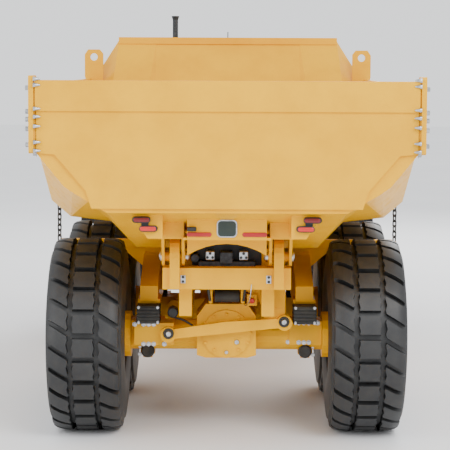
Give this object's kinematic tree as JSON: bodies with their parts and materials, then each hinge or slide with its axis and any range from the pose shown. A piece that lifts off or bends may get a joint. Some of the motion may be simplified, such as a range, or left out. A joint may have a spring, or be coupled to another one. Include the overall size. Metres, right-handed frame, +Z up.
{
  "type": "articulated dump truck",
  "caption": "Six-wheel-drive articulated dump truck with a tipping body, a large overhead-hinged tailgate on chains, an oscillating hitch, opening cab door and tilting hood.",
  "frame": {"origin": "on the ground, under the centre of the whole truck's box", "axes": "+Y forwards along the truck, +X to the truck's right, +Z up"},
  "size_m": [3.76, 10.95, 4.17],
  "materials": {
    "yellow_paint": "semi-gloss machine yellow enamel, dusty",
    "rim_paint": "semi-gloss machine yellow enamel",
    "dark_paint": "satin dark grey",
    "tyre_rubber": "matt black rubber",
    "chromed_rod": "polished hard chrome",
    "chain_steel": "worn dark steel",
    "glass": "tinted safety glass",
    "lamp_lens": "red lamp lens",
    "seat_fabric": "woven seat cloth",
    "trim_plastic": "grained dark trim"
  },
  "bodies": {
    "rear_frame": {"rear_frame": "yellow_paint", "walking_beam_left": "yellow_paint", "walking_beam_right": "yellow_paint", "rear_axle": "yellow_paint", "middle_axle": "yellow_paint", "rear_lateral_rod": "yellow_paint", "middle_lateral_rod": "yellow_paint"},
    "hitch": {"hitch": "yellow_paint"},
    "front_frame": {"front_frame": "yellow_paint", "front_axle": "yellow_paint", "front_bumper": "dark_paint", "cab_shell": "yellow_paint", "cab_roof": "yellow_paint", "windscreen": "glass", "rear_window": "glass", "side_window_right": "glass", "operator_seat": "seat_fabric", "steering_console": "trim_plastic", "fender_left": "dark_paint", "fender_right": "dark_paint", "engine_block": "dark_paint", "fuel_tank": "dark_paint", "hydraulic_tank": "dark_paint", "mirror_left": "dark_paint", "mirror_right": "dark_paint", "exhaust_stack": "dark_paint"},
    "hood": {"hood": "yellow_paint", "grille": "dark_paint"},
    "cab_door": {"cab_door": "yellow_paint", "cab_door_window": "glass"},
    "dump_body": {"dump_body": "yellow_paint", "tail_light_left": "lamp_lens", "tail_light_right": "lamp_lens"},
    "tailgate": {"tailgate": "yellow_paint"},
    "rear_wheel_left": {"rear_tyre_left": "tyre_rubber", "rear_rim_left": "rim_paint"},
    "rear_wheel_right": {"rear_tyre_right": "tyre_rubber", "rear_rim_right": "rim_paint"},
    "middle_wheel_left": {"middle_tyre_left": "tyre_rubber", "middle_rim_left": "rim_paint"},
    "middle_wheel_right": {"middle_tyre_right": "tyre_rubber", "middle_rim_right": "rim_paint"},
    "front_wheel_left": {"front_tyre_left": "tyre_rubber", "front_rim_left": "rim_paint"},
    "front_wheel_right": {"front_tyre_right": "tyre_rubber", "front_rim_right": "rim_paint"},
    "tailgate_chain_left": {"tailgate_chain_left": "chain_steel"},
    "hoist_barrel_left": {"hoist_barrel_left": "yellow_paint"},
    "hoist_rod_left": {"hoist_rod_left": "chromed_rod"},
    "steering_barrel_left": {"steering_barrel_left": "yellow_paint"},
    "steering_rod_left": {"steering_rod_left": "chromed_rod"},
    "tailgate_chain_right": {"tailgate_chain_right": "chain_steel"},
    "hoist_barrel_right": {"hoist_barrel_right": "yellow_paint"},
    "hoist_rod_right": {"hoist_rod_right": "chromed_rod"},
    "steering_barrel_right": {"steering_barrel_right": "yellow_paint"},
    "steering_rod_right": {"steering_rod_right": "chromed_rod"}
  },
  "joints": [
    {"name": "oscillation", "type": "hinge", "parent": "rear_frame", "child": "hitch", "pos_m": [0, 1.115, 1.2], "axis": [0, -1, 0], "range_deg": [-15, 15]},
    {"name": "articulation", "type": "hinge", "parent": "hitch", "child": "front_frame", "pos_m": [0, 1.115, 1.2], "axis": [0, 0, 1], "range_deg": [-45, 45]},
    {"name": "hood_hinge", "type": "hinge", "parent": "front_frame", "child": "hood", "pos_m": [0, 5.125, 1.24], "axis": [-1, 0, 0], "range_deg": [0, 65]},
    {"name": "cab_door_hinge", "type": "hinge", "parent": "front_frame", "child": "cab_door", "pos_m": [-0.838, 1.663, 2.8], "axis": [0, 0, 1], "range_deg": [0, 85]},
    {"name": "dump_hinge", "type": "hinge", "parent": "rear_frame", "child": "dump_body", "pos_m": [0, -4.545, 1.78], "axis": [1, 0, 0], "range_deg": [0, 70]},
    {"name": "tailgate_hinge", "type": "hinge", "parent": "dump_body", "child": "tailgate", "pos_m": [0, -4.545, 3.08], "axis": [1, 0, 0], "range_deg": [-70, 0]},
    {"name": "rear_wheel_left", "type": "hinge", "parent": "rear_frame", "child": "rear_wheel_left", "pos_m": [-1.34, -3.825, 0.9375], "axis": [1, 0, 0], "continuous": true},
    {"name": "rear_wheel_right", "type": "hinge", "parent": "rear_frame", "child": "rear_wheel_right", "pos_m": [1.34, -3.825, 0.9375], "axis": [1, 0, 0], "continuous": true},
    {"name": "middle_wheel_left", "type": "hinge", "parent": "rear_frame", "child": "middle_wheel_left", "pos_m": [-1.34, -1.875, 0.9375], "axis": [1, 0, 0], "continuous": true},
    {"name": "middle_wheel_right", "type": "hinge", "parent": "rear_frame", "child": "middle_wheel_right", "pos_m": [1.34, -1.875, 0.9375], "axis": [1, 0, 0], "continuous": true},
    {"name": "front_wheel_left", "type": "hinge", "parent": "front_frame", "child": "front_wheel_left", "pos_m": [-1.34, 2.565, 0.9375], "axis": [1, 0, 0], "continuous": true},
    {"name": "front_wheel_right", "type": "hinge", "parent": "front_frame", "child": "front_wheel_right", "pos_m": [1.34, 2.565, 0.9375], "axis": [1, 0, 0], "continuous": true},
    {"name": "tailgate_chain_left", "type": "hinge", "parent": "rear_frame", "child": "tailgate_chain_left", "pos_m": [-1.7275, -2.85, 1.72], "axis": [1, 0, 0], "range_deg": [0, 70]},
    {"name": "hoist_base_left", "type": "hinge", "parent": "rear_frame", "child": "hoist_barrel_left", "pos_m": [-0.562, -1.325, 1.12], "axis": [1, 0, 0], "range_deg": [-15.5, 0.5]},
    {"name": "hoist_stroke_left", "type": "slide", "parent": "hoist_barrel_left", "child": "hoist_rod_left", "axis": [0, -0.967, 0.2549], "range_m": [0, 0.945]},
    {"name": "steering_base_left", "type": "hinge", "parent": "front_frame", "child": "steering_barrel_left", "pos_m": [-0.62, 2.215, 1.2], "axis": [0, 0, 1], "range_deg": [-1.5, 1.5]},
    {"name": "steering_stroke_left", "type": "slide", "parent": "steering_barrel_left", "child": "steering_rod_left", "axis": [0.1344, -0.9909, 0], "range_m": [-0.335, 0.335]},
    {"name": "tailgate_chain_right", "type": "hinge", "parent": "rear_frame", "child": "tailgate_chain_right", "pos_m": [1.7275, -2.85, 1.72], "axis": [1, 0, 0], "range_deg": [0, 70]},
    {"name": "hoist_base_right", "type": "hinge", "parent": "rear_frame", "child": "hoist_barrel_right", "pos_m": [0.562, -1.325, 1.12], "axis": [1, 0, 0], "range_deg": [-15.5, 0.5]},
    {"name": "hoist_stroke_right", "type": "slide", "parent": "hoist_barrel_right", "child": "hoist_rod_right", "axis": [0, -0.967, 0.2549], "range_m": [0, 0.945]},
    {"name": "steering_base_right", "type": "hinge", "parent": "front_frame", "child": "steering_barrel_right", "pos_m": [0.62, 2.215, 1.2], "axis": [0, 0, 1], "range_deg": [-1.5, 1.5]},
    {"name": "steering_stroke_right", "type": "slide", "parent": "steering_barrel_right", "child": "steering_rod_right", "axis": [-0.1344, -0.9909, 0], "range_m": [-0.335, 0.335]}
  ],
  "couplings": [
    {"joint": "tailgate_hinge", "follows": "dump_hinge", "ratio": -1},
    {"joint": "tailgate_chain_left", "follows": "dump_hinge", "ratio": 1},
    {"joint": "hoist_base_left", "follows": "dump_hinge", "ratio": -0.21249},
    {"joint": "hoist_stroke_left", "follows": "dump_hinge", "m_per_rad": 0.7709},
    {"joint": "steering_base_left", "follows": "articulation", "ratio": 0.03},
    {"joint": "steering_stroke_left", "follows": "articulation", "m_per_rad": -0.419},
    {"joint": "tailgate_chain_right", "follows": "dump_hinge", "ratio": 1},
    {"joint": "hoist_base_right", "follows": "dump_hinge", "ratio": -0.21249},
    {"joint": "hoist_stroke_right", "follows": "dump_hinge", "m_per_rad": 0.7709},
    {"joint": "steering_base_right", "follows": "articulation", "ratio": 0.03},
    {"joint": "steering_stroke_right", "follows": "articulation", "m_per_rad": 0.419}
  ]
}
